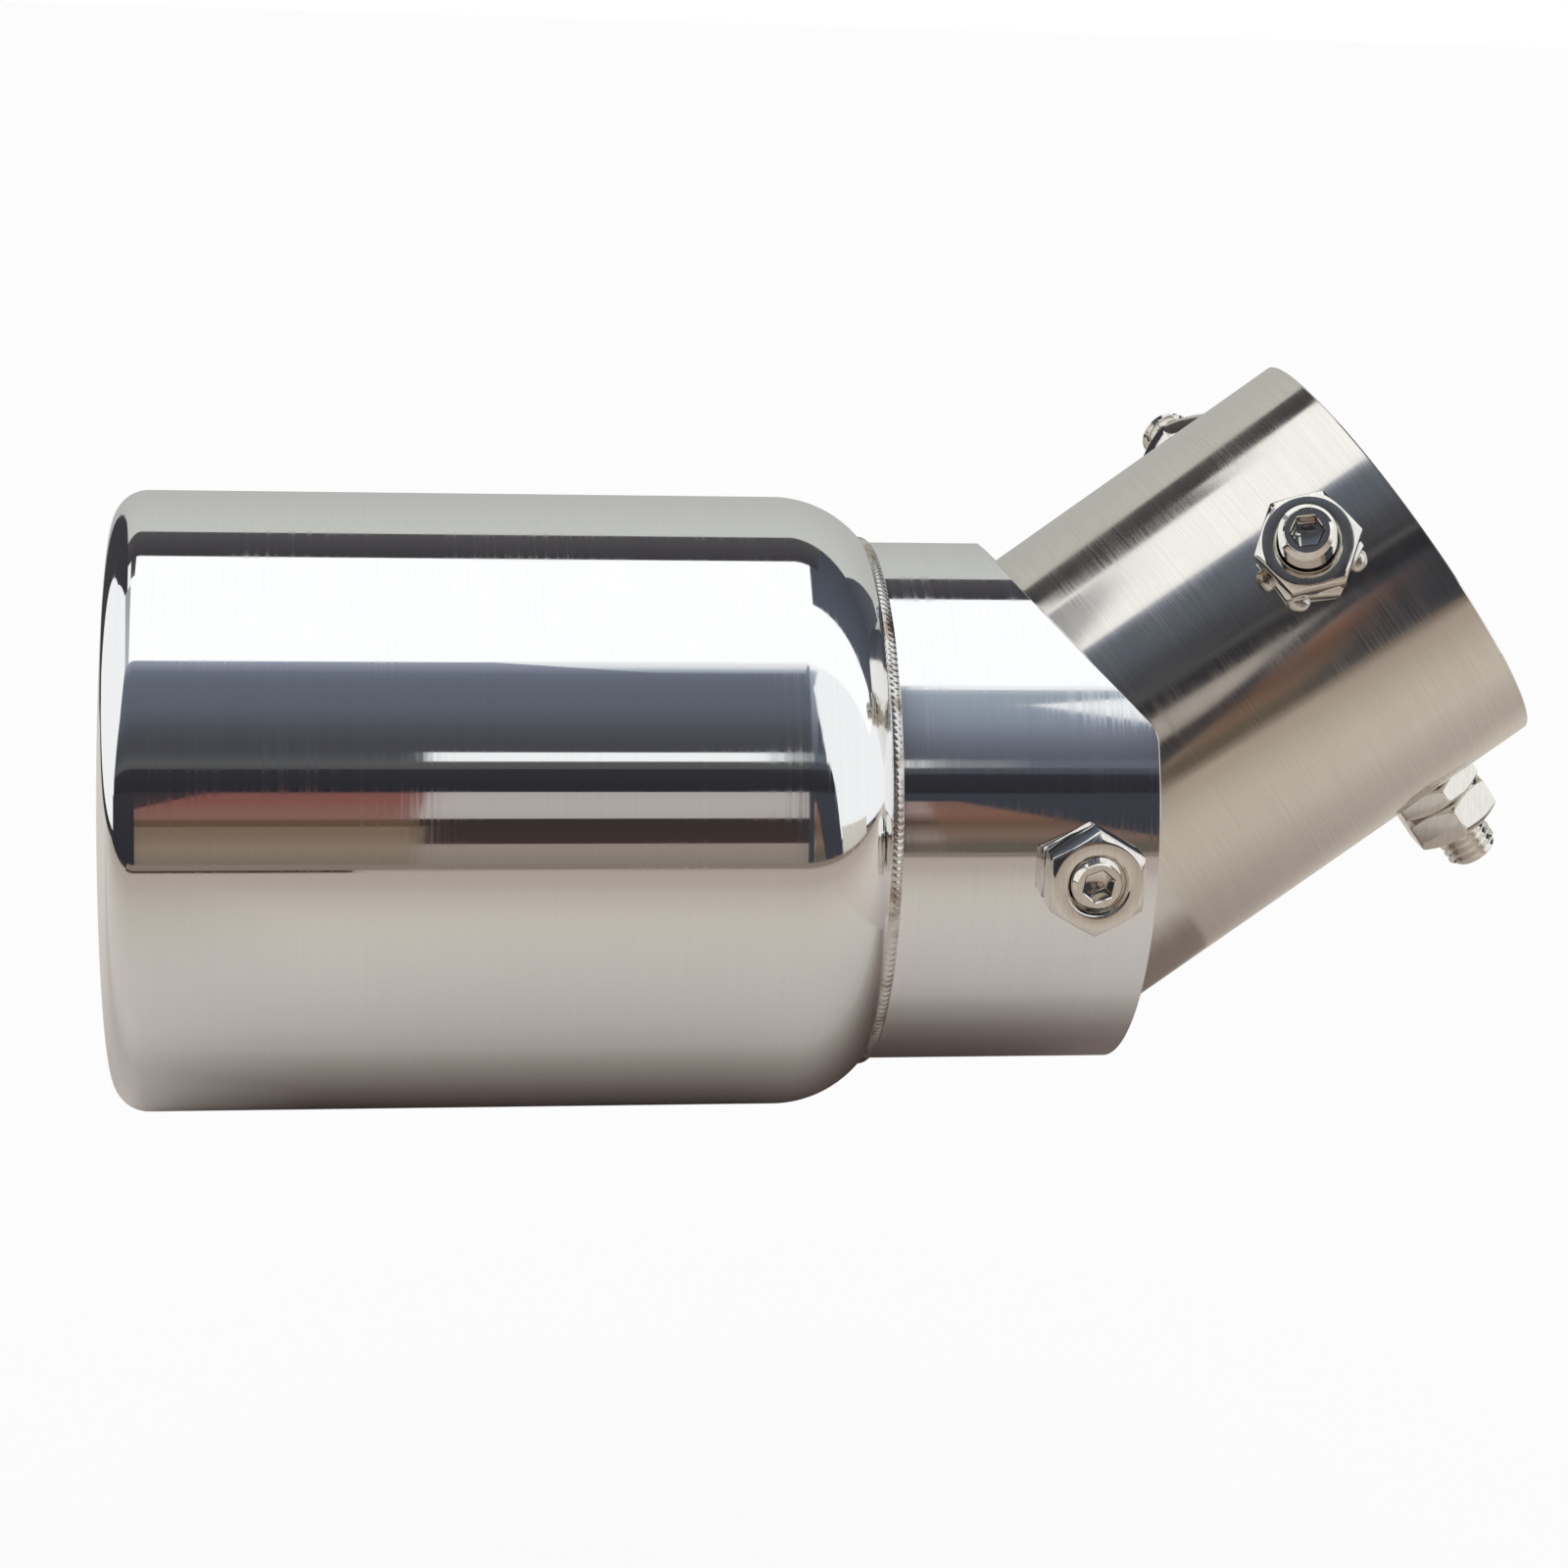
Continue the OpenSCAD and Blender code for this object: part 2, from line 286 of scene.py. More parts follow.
def spun(section: list[Point], steps: int) -> bmesh.types.BMesh:
    """Spins a closed section a full turn about Z.

    Args:
        section: The section's points as radius and height.
        steps: How many steps the turn has.

    Returns:
        The closed ring of faces.
    """
    bm = bmesh.new()
    points = [bm.verts.new((radius, 0, height)) for radius, height in section]
    outline = [bm.edges.new(pair) for pair in zip(points, points[1:] + points[:1])]
    bmesh.ops.spin(bm, geom=points + outline, cent=(0, 0, 0), axis=(0, 0, 1), dvec=(0, 0, 0),
                   angle=FULL_TURN, steps=steps, use_merge=True, use_duplicate=False)
    tidy(bm)
    return bm


def tidy(bm: bmesh.types.BMesh) -> None:
    """Merges doubles and turns every face outwards.

    Args:
        bm: The mesh to tidy.
    """
    bmesh.ops.remove_doubles(bm, verts=bm.verts, dist=WELD_DISTANCE)
    bmesh.ops.recalc_face_normals(bm, faces=bm.faces)


def ease_edges(bm: bmesh.types.BMesh, width: float, over_deg: float, segments: int = 2) -> None:
    """Rounds the edges that turn sharply.

    Args:
        bm: The mesh to work on.
        width: Width of the rounding.
        over_deg: Edges that turn more than this are rounded.
        segments: How many strips the rounding has, where one gives a plain bevel.
    """
    edges = [e for e in bm.edges if e.is_manifold and e.calc_face_angle() > radians(over_deg)]
    bmesh.ops.bevel(bm, geom=edges, offset=width, offset_type="OFFSET", segments=segments, profile=0.5,
                    affect="EDGES", clamp_overlap=True, material=-1)


def make_piece(bm: bmesh.types.BMesh, name: str, place: Matrix, material: bpy.types.Material,
               body: str, node: str) -> bpy.types.Object:
    """Turns a mesh into a finished piece that stands for a solid.

    Args:
        bm: The mesh, in its own frame, which is freed.
        name: The piece's name.
        place: Where it goes.
        material: Its finish.
        body: The body that it moves with.
        node: The solid that it replaces.

    Returns:
        The new object, at the origin with its place in its mesh.
    """
    bmesh.ops.transform(bm, matrix=place, verts=bm.verts)
    for face in bm.faces:
        face.smooth = True
    for edge in bm.edges:
        edge.smooth = not edge.is_manifold or edge.calc_face_angle() < radians(CRISP_DEG)
    mesh = bpy.data.meshes.new(name)
    bm.to_mesh(mesh)
    bm.free()
    mesh.materials.append(material)
    piece = bpy.data.objects.new(name, mesh)
    bpy.context.scene.collection.objects.link(piece)
    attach(piece, body)
    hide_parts(node)
    LOG.info("%s: %d faces on %s", name, len(mesh.polygons), body)
    return piece


def drill(piece: bpy.types.Object, holes: list[Matrix], radius: float, length: float) -> None:
    """Cuts round holes through a piece.

    Args:
        piece: The piece to drill.
        holes: The frame of each hole, with Z along it and its start at the origin.
        radius: The holes' radius.
        length: How far each hole reaches from its start.
    """
    bm = bmesh.new()
    for hole in holes:
        bmesh.ops.create_cone(bm, cap_ends=True, segments=64, radius1=radius, radius2=radius, depth=length,
                              matrix=hole @ Matrix.Translation((0, 0, length / 2)))
    mesh = bpy.data.meshes.new("drill")
    bm.to_mesh(mesh)
    bm.free()
    cutter = bpy.data.objects.new("drill", mesh)
    bpy.context.scene.collection.objects.link(cutter)
    cut = piece.modifiers.new("holes", "BOOLEAN")
    cut.object, cut.operation, cut.solver = cutter, "DIFFERENCE", "EXACT"
    drilled = bpy.data.meshes.new_from_object(piece.evaluated_get(bpy.context.evaluated_depsgraph_get()))
    piece.modifiers.clear()
    piece.data = drilled
    bpy.data.objects.remove(cutter)


def true_walls(piece: bpy.types.Object, axis: Vector) -> None:
    """Gives the round walls of a tube the normals of a true cylinder.

    Args:
        piece: The tube.
        axis: The direction of its axis, which passes through the origin.
    """
    mesh = piece.data
    normals = [Vector(corner.vector) for corner in mesh.corner_normals]
    for face in mesh.polygons:
        middle = face.center - axis * face.center.dot(axis)
        if abs(face.normal.dot(middle.normalized())) < ROUND_WALL:
            continue
        sign = 1 if face.normal.dot(middle) > 0 else -1
        for index in face.loop_indices:
            spot = mesh.vertices[mesh.loops[index].vertex_index].co
            normals[index] = sign * (spot - axis * spot.dot(axis)).normalized()
    mesh.normals_split_custom_set([tuple(n) for n in normals])


ALONG_BARREL = Matrix.Rotation(pi / 2, 4, "Y")
CLAMP_AXIS = Vector(frame["record"]["mounts"][0]["axis"])
ON_PIPE = Matrix.Rotation(-atan2(CLAMP_AXIS.z, CLAMP_AXIS.x), 4, "Y")


@dataclass
class Barrel:
    """The polished barrel with its rolled lip, and the weld that joins it to the collar."""

    wall: float = 1.2 * MM
    lip_r: float = 4.9 * MM
    lip_skirt: float = 8.0 * MM
    shoulder_r: float = 15.9 * MM
    edge: float = 0.2 * MM
    # Rings this near each end of the straight wall keep its shading that of a true cylinder
    ring_gap: float = 0.3 * MM
    steps: int = 256
    bead_r: float = 1.2 * MM
    bead_sink: float = 0.4 * MM
    bead_half_deg: float = 56.0
    ripple_pitch: float = 0.95 * MM
    ripple_depth: float = 0.1 * MM
    ripple_steps: int = 10
    ripple_bow: float = 0.55
    ripple_sway: float = 0.9
    sway_scale: float = 6.0
    lip_steps: int = 48
    shoulder_steps: int = 32
    inner_shoulder_steps: int = 24
    inner_lip_steps: int = 20
    bead_steps: int = 12

    def __post_init__(self) -> None:
        """Takes the barrel's and the collar's sizes from the solids."""
        low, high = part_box("barrel")
        self.outer_r = high[2]
        self.mouth_x = low[0]
        self.lip_x = self.mouth_x + self.lip_r
        self.collar_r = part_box("collar")[1][1]
        self.curve_r = self.outer_r - self.shoulder_r
        self.shoulder_drop = self.collar_r - self.curve_r
        self.weld_x = high[0]
        self.shoulder_x = self.weld_x - sqrt(self.shoulder_r ** 2 - self.shoulder_drop ** 2)

    def section(self) -> list[Point]:
        """Draws the sheet's section.

        Returns:
            Points from the skirt round the lip, along the outside to the weld, and back inside.
        """
        lip = (self.outer_r - self.lip_r, self.lip_x)
        curve = (self.curve_r, self.shoulder_x)
        inner_r = self.shoulder_r - self.wall
        outer_end = degrees(acos(self.shoulder_drop / self.shoulder_r))
        inner_end = degrees(acos(self.shoulder_drop / inner_r))
        skirt_r = self.outer_r - 2 * self.lip_r
        skirt_end = self.lip_x + self.lip_skirt
        return ([(skirt_r, skirt_end)]
                + arc(lip, self.lip_r, -180, 0, self.lip_steps)
                + [(self.outer_r, self.lip_x + self.ring_gap), (self.outer_r, self.shoulder_x - self.ring_gap)]
                + arc(curve, self.shoulder_r, 0, outer_end, self.shoulder_steps)
                + arc(curve, inner_r, inner_end, 0, self.inner_shoulder_steps)
                + arc(lip, self.lip_r - self.wall, 0, -180, self.inner_lip_steps)
                + [(skirt_r + self.wall, skirt_end)])

    def build_shell(self) -> None:
        """Spins and dresses the barrel."""
        bm = spun(self.section(), self.steps)
        ease_edges(bm, self.edge, over_deg=60)
        make_piece(bm, "barrel_shell", ALONG_BARREL, MIRROR, "tip", "barrel")

    def build_bead(self) -> None:
        """Spins the weld bead and presses its ripples into it."""
        lean = acos(self.shoulder_drop / self.shoulder_r) / 2
        centre = (self.collar_r - self.bead_sink * cos(lean), self.weld_x - self.bead_sink * sin(lean))
        lean_deg = degrees(lean)
        section = arc(centre, self.bead_r, lean_deg - self.bead_half_deg, lean_deg + self.bead_half_deg,
                      self.bead_steps)
        count = round(FULL_TURN * self.collar_r / self.ripple_pitch)
        bm = spun(section, count * self.ripple_steps)
        for vert in bm.verts:
            turn = atan2(vert.co.y, vert.co.x)
            offset = Vector((hypot(vert.co.x, vert.co.y) - centre[0], vert.co.z - centre[1]))
            across = (atan2(offset.y, offset.x) - lean) / radians(self.bead_half_deg)
            hump = abs(sin(pi * (turn * count / FULL_TURN + self.ripple_bow * across * across)))
            sway = noise.noise(Vector((cos(turn), sin(turn), 0)) * self.sway_scale)
            sink = self.ripple_depth * (1 - hump) * (1 + self.ripple_sway * sway) * (1 - across * across)
            radius = hypot(vert.co.x, vert.co.y) - sink * offset.x / self.bead_r
            vert.co = Vector((radius * cos(turn), radius * sin(turn), vert.co.z - sink * offset.y / self.bead_r))
        make_piece(bm, "barrel_weld_bead", ALONG_BARREL, WELD, "tip", "barrel_weld")


@dataclass
class Collar:
    """The short tube that swings on the pivot screws, with its slanted cut over the pipe."""

    wall: float = 1.0 * MM
    slant_deg: float = 44.0
    corner_r: float = 4.0 * MM
    edge: float = 0.12 * MM
    pivot_hole_r: float = 4.01 * MM
    steps: int = 288

    def __post_init__(self) -> None:
        """Takes the collar's ends and its corner's height from the solid."""
        low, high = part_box("collar")
        self.front_x, self.back_x = low[0], high[0]
        self.outer_r = high[1]
        corners = [v.co for v in frame["nodes"]["collar"].data.vertices]
        self.corner_z = max(c.z for c in corners if c.x > self.back_x - 0.001 * MM)

    def end_at(self, height: float) -> float:
        """Finds where the sheet ends at a height.

        Args:
            height: Height above the pivot axis.

        Returns:
            The place along X of the slanted cut, its round corner or the square end.
        """
        slant = radians(self.slant_deg)
        centre_x = self.back_x - self.corner_r
        rise = height - self.corner_z
        if rise <= 0:
            return self.back_x
        if rise <= self.corner_r * cos(slant):
            return centre_x + sqrt(self.corner_r ** 2 - rise ** 2)
        return centre_x + self.corner_r * sin(slant) - (rise - self.corner_r * cos(slant)) / tan(slant)

    def build(self) -> None:
        """Spins the tube, moves its end to the slanted cut and drills it for the pivot screws."""
        inner_r = self.outer_r - self.wall
        bm = spun([(inner_r, self.front_x), (self.outer_r, self.front_x),
                   (self.outer_r, self.back_x), (inner_r, self.back_x)], self.steps)
        for vert in bm.verts:
            if vert.co.z > self.back_x - WELD_DISTANCE:
                vert.co.z = self.end_at(-vert.co.x)
        ease_edges(bm, self.edge, over_deg=40)
        piece = make_piece(bm, "collar_sleeve", ALONG_BARREL, BUFFED, "tip", "collar")
        sides = [Matrix.Rotation(turn, 4, "X") for turn in (pi / 2, -pi / 2)]
        drill(piece, sides, self.pivot_hole_r, 2 * self.outer_r)
        true_walls(piece, Vector((1, 0, 0)))


@dataclass
class InletPipe:
    """The straight inlet tube, drilled for the set screws."""

    bore_r: float = 31.5 * MM
    wall: float = 1.0 * MM
    outer_end: float = 65.0 * MM
    inner_end: float = -12.0 * MM
    edge: float = 0.2 * MM
    hole_r: float = 4.25 * MM
    clamp_at: float = 50.2 * MM
    steps: int = 288

    @property
    def outer_r(self) -> float:
        """The pipe's outer radius."""
        return self.bore_r + self.wall

    def crown(self, side: Side) -> Matrix:
        """The frame on the pipe's surface under a clamp stack, with Z out."""
        return self.clamp_axis(side) @ Matrix.Translation((0, 0, self.outer_r))

    def clamp_axis(self, side: Side) -> Matrix:
        """The frame on the pipe's axis under a clamp stack, with Z out."""
        return (ON_PIPE @ Matrix.Translation((self.clamp_at, 0, 0))
                @ Matrix.Rotation(radians(90 - side.value), 4, "X"))

    def build(self) -> None:
        """Spins, drills and dresses the pipe."""
        bm = spun([(self.bore_r, self.inner_end), (self.outer_r, self.inner_end),
                   (self.outer_r, self.outer_end), (self.bore_r, self.outer_end)], self.steps)
        ease_edges(bm, self.edge, over_deg=40, segments=1)
        piece = make_piece(bm, "inlet_tube", ON_PIPE @ ALONG_BARREL, SATIN, "inlet",
                           "inlet_pipe")
        holes = [self.clamp_axis(side) for side in Side]
        holes += [ON_PIPE @ Matrix.Rotation(turn, 4, "X") for turn in (pi / 2, -pi / 2)]
        drill(piece, holes, self.hole_r, 2 * self.outer_r)
        true_walls(piece, CLAMP_AXIS.normalized())


@dataclass
class Hardware:
    """The nuts, set screws and tack welds, each in its own frame with Z along its axis."""

    screw_r: float = 3.95 * MM
    screw_bevel: float = 0.9 * MM
    pitch: float = 1.25 * MM
    thread_depth: float = 0.68 * MM
    turn_steps: int = 60
    socket_af: float = 4.0 * MM
    socket_depth: float = 4.0 * MM
    socket_lead: float = 0.15 * MM
    # Radius of the drill's point under the socket
    socket_point: float = 1.6 * MM
    cup_r: float = 2.5 * MM
    nut_af: float = 13.0 * MM
    nut_face_r: float = 6.175 * MM
    nut_bevel_deg: float = 30.0
    nut_bore_r: float = 4.0 * MM
    nut_sink: float = 0.5 * MM
    nut_edge: float = 0.12 * MM
    nut_steps: int = 96
    tack_r: float = 1.3 * MM
    tack_degs: tuple[float, ...] = (5, 318, 175, 222)
    # A drop's widths as shares of a ball's, and how unevenly it swelled
    tack_shape: tuple[float, float, float] = (0.9, 1.25, 0.85)
    tack_swell: float = 0.12
    tack_lump: float = 1.1 * MM

    @staticmethod
    def hexagon(turn: float, across_flats: float) -> float:
        """Finds a hexagon's radius in a direction.

        Args:
            turn: The direction, in radians from a corner.
            across_flats: The hexagon's width across its flats.

        Returns:
            Distance from its centre to its side.
        """
        return across_flats / 2 / cos(turn % (pi / 3) - pi / 6)

    def nut(self, height: float) -> bmesh.types.BMesh:
        """Builds a hexagon nut with bevelled corners and countersunk bore.

        Args:
            height: The nut's height.

        Returns:
            The nut, standing on Z = 0.
        """
        mouth_r = self.nut_bore_r + self.nut_sink
        # The rings of the sides start outside the nut, and the loop brings them in to the hexagon
        side_r = self.nut_af
        bm = spun([(self.nut_bore_r, self.nut_sink), (mouth_r, 0), (self.nut_face_r, 0), (side_r, 0.2 * height),
                   (side_r, 0.8 * height), (self.nut_face_r, height), (mouth_r, height),
                   (self.nut_bore_r, height - self.nut_sink)], self.nut_steps)
        for vert in bm.verts:
            turn = atan2(vert.co.y, vert.co.x)
            if hypot(vert.co.x, vert.co.y) > self.nut_face_r + WELD_DISTANCE:
                radius = self.hexagon(round(turn * self.nut_steps / FULL_TURN) * FULL_TURN / self.nut_steps,
                                      self.nut_af)
                drop = (radius - self.nut_face_r) * tan(radians(self.nut_bevel_deg))
                level = drop if vert.co.z < height / 2 else height - drop
                vert.co = Vector((radius * cos(turn), radius * sin(turn), level))
        tidy(bm)
        ease_edges(bm, self.nut_edge, over_deg=25)
        return bm

    def draw_end(self, bm: bmesh.types.BMesh, level: float,
                 rings: list[tuple[Callable[[float], float], float]]) -> None:
        """Closes a screw's open end with rings drawn in from its rim.

        Args:
            bm: The screw.
            level: Height of the open end.
            rings: Each ring's radius as a function of direction, and its height.
        """
        edges = [e for e in bm.edges if e.is_boundary and all(abs(v.co.z - level) < SLACK for v in e.verts)]
        for radius_at, height in rings:
            grown = bmesh.ops.extrude_edge_only(bm, edges=edges)["geom"]
            edges = [item for item in grown if isinstance(item, bmesh.types.BMEdge)]
            for vert in {v for e in edges for v in e.verts}:
                turn = atan2(vert.co.y, vert.co.x)
                radius = radius_at(turn)
                vert.co = Vector((radius * cos(turn), radius * sin(turn), height))

    def set_screw(self, length: float) -> bmesh.types.BMesh:
        """Builds a threaded socket set screw with a cup point.

        Args:
            length: The screw's length.

        Returns:
            The screw, reaching down from its outer end at Z = 0.
        """
        root_r = self.screw_r - self.thread_depth
        # Root flat, flank, crest flat and flank of a metric thread, as shares of the pitch
        shares = (0, 0.25, 0.5625, 0.6875, 1)
        radii = (root_r, root_r, self.screw_r, self.screw_r, root_r)
        turns = int(length / self.pitch) + 3
        bm = bmesh.new()
        points = [bm.verts.new((r, 0, s * self.pitch - length - self.pitch)) for r, s in zip(radii, shares)]
        flank = [bm.edges.new(pair) for pair in zip(points, points[1:])]
        bmesh.ops.spin(bm, geom=points + flank, cent=(0, 0, 0), axis=(0, 0, 1),
                       dvec=(0, 0, self.pitch / self.turn_steps), angle=FULL_TURN * turns,
                       steps=self.turn_steps * turns, use_merge=False, use_duplicate=False)
        bmesh.ops.remove_doubles(bm, verts=bm.verts, dist=SLACK)
        for level, way in ((0, 1), (-length, -1)):
            bmesh.ops.bisect_plane(bm, geom=bm.verts[:] + bm.edges[:] + bm.faces[:], dist=WELD_DISTANCE,
                                   plane_co=(0, 0, level), plane_no=(0, 0, way), clear_outer=True)
        end_r = self.screw_r - self.screw_bevel
        for vert in bm.verts:
            limit = end_r + min(-vert.co.z, vert.co.z + length)
            radius = hypot(vert.co.x, vert.co.y)
            if radius > limit:
                vert.co.xy = vert.co.xy * (limit / radius)
        self.draw_end(bm, 0, [
            (lambda turn: self.hexagon(turn, self.socket_af) + self.socket_lead, 0),
            (lambda turn: self.hexagon(turn, self.socket_af), -self.socket_lead),
            (lambda turn: self.hexagon(turn, self.socket_af), -self.socket_depth),
            (lambda turn: self.socket_point, -self.socket_depth),
            (lambda turn: 0, -self.socket_depth - self.socket_point / 2)])
        self.draw_end(bm, -length, [
            (lambda turn: self.cup_r, -length),
            (lambda turn: 0, self.cup_r - length)])
        tidy(bm)
        return bm

    def tacks(self, carrier_r: float) -> bmesh.types.BMesh:
        """Builds the tack welds round the foot of a nut.

        Args:
            carrier_r: Radius of the tube that the nut stands on.

        Returns:
            Four uneven drops of weld metal, sunk into nut and tube.
        """
        bm = bmesh.new()
        ring = self.nut_af / 2 + self.tack_r / 4
        for number, deg in enumerate(self.tack_degs):
            side = ring * sin(radians(deg))
            fall = carrier_r - sqrt(carrier_r ** 2 - side ** 2)
            drop = bmesh.ops.create_icosphere(bm, subdivisions=4, radius=self.tack_r)["verts"]
            for vert in drop:
                lump = noise.noise(vert.co / self.tack_lump + Vector((7 * number, 0, 0)))
                vert.co = vert.co * Vector(self.tack_shape) * (1 + self.tack_swell * lump)
            place = (Matrix.Rotation(radians(deg), 4, "Z")
                     @ Matrix.Translation((ring, 0, self.tack_r / 4 - fall)))
            bmesh.ops.transform(bm, matrix=place, verts=drop)
        return bm


@dataclass
class Stacks:
    """The three clamp stacks on the pipe and the two pivots at the collar."""

    pipe: InletPipe
    collar: Collar
    parts: Hardware
    weld_nut_h: float = 3.7 * MM
    lock_nut_h: float = 5.6 * MM
    clamp_screw_l: float = 16.0 * MM
    clamp_screw_top: float = 15.1 * MM
    seat_gap: float = 0.1 * MM
    pivot_proud: float = 0.3 * MM
    pivot_tip_back: float = 0.5 * MM
    flat_turn: float = 30.0

    @staticmethod
    def turned(deg: float, height: float = 0.0) -> Matrix:
        """A turn about Z and a step up it."""
        return Matrix.Translation((0, 0, height)) @ Matrix.Rotation(radians(deg), 4, "Z")

    @staticmethod
    def bright(bm: bmesh.types.BMesh, name: str, place: Matrix, node: str, body: str = "inlet") -> None:
        """Makes a nickel plated piece."""
        make_piece(bm, name, place, NICKEL, body, node)

    def weld_on(self, name: str, seat: Matrix, word: str) -> None:
        """Builds a nut welded on the pipe, with its tack welds.

        Args:
            name: What the stack is called in the solids.
            seat: The frame on the pipe's surface under the nut.
            word: The stack's side.
        """
        prefix = "pivot_" if name == "pivot" else ""
        self.bright(self.parts.nut(self.weld_nut_h), f"welded_{prefix}nut_{word}",
                    seat @ self.turned(self.flat_turn), f"{name}_nut_{word}")
        make_piece(self.parts.tacks(self.pipe.outer_r), f"{prefix}tack_welds_{word}", seat, WELD, "inlet",
                   f"{name}_nut_weld_{word}")

    def build_clamp(self, side: Side, nut_turn: float, socket_turn: float) -> None:
        """Builds one clamp stack.

        Args:
            side: Which stack.
            nut_turn: How far its lock nut is turned, in degrees.
            socket_turn: How far its screw is turned, in degrees.
        """
        seat = self.pipe.crown(side)
        word = side.word
        self.weld_on("clamp", seat, word)
        self.bright(self.parts.nut(self.lock_nut_h), f"locking_nut_{word}",
                    seat @ self.turned(nut_turn, self.weld_nut_h), f"lock_nut_{word}")
        self.bright(self.parts.set_screw(self.clamp_screw_l), f"threaded_screw_{word}",
                    seat @ self.turned(socket_turn, self.clamp_screw_top), f"clamp_screw_{word}",
                    f"{word}_clamp_screw")

    def build_pivot(self, side: Side, socket_turn: float) -> None:
        """Builds one pivot.

        Args:
            side: Right or left.
            socket_turn: How far its screw is turned, in degrees.
        """
        word = side.word
        across = Matrix.Rotation(pi / 2 if side is Side.RIGHT else -pi / 2, 4, "X")
        nut_base = self.collar.outer_r + self.seat_gap
        screw_end = nut_base + self.lock_nut_h + self.pivot_proud
        screw_l = screw_end - self.pipe.bore_r - self.pivot_tip_back
        self.weld_on("pivot", ON_PIPE @ across @ Matrix.Translation((0, 0, self.pipe.outer_r)), word)
        self.bright(self.parts.nut(self.lock_nut_h), f"locking_pivot_nut_{word}",
                    across @ self.turned(self.flat_turn, nut_base), f"pivot_lock_nut_{word}")
        self.bright(self.parts.set_screw(screw_l), f"threaded_pivot_screw_{word}",
                    across @ self.turned(socket_turn, screw_end), f"pivot_screw_{word}")


# How far the studio's cards stand from the barrel's axis, in metres
NEAR_BY = 0.42
IN_FRONT = 0.417
ON_WALL = 1.5
BEHIND_WALL = 1.52
BEFORE_WALL = 1.49
# A softbox shines this much brighter than white paper
SOFTBOX = 1.15
# The floor lies this far below the level that the object lies on, so that the barrel swings clear of it
SWING_ROOM = 91.0 * MM


@dataclass(frozen=True)
class Card:
    """A curved studio card beside the object, seen only in its reflections. It glows with its own shades and is unseen
    by diffuse light, so the shades are painted reflections of the studio, with its light and shade in them.

    Angles go round the barrel in degrees, with 0 towards the camera's side and 90 overhead.
    Ends are places along X in millimetres, at the card's first and last angle.
    """

    name: str
    left: Point
    right: Point
    # Colours by angle, from the card's first edge to its last: painted light and shade as the metal reflects them
    shades: tuple[Shade, ...]
    radius: float = NEAR_BY
    strength: float = 1.0


@dataclass(frozen=True)
class Sheet:
    """A paper sheet that lies level under the object, seen from above and only in reflections."""

    name: str
    left: float
    right: float
    # Colours by place along Y, from the sheet's front edge to its back edge
    shades: tuple[Shade, ...]
    # Height above the level that the object lies on
    lift: float
    # Colours along its right edge, at the same places, for a sheet that fades from left to right
    right_shades: tuple[Shade, ...] = ()
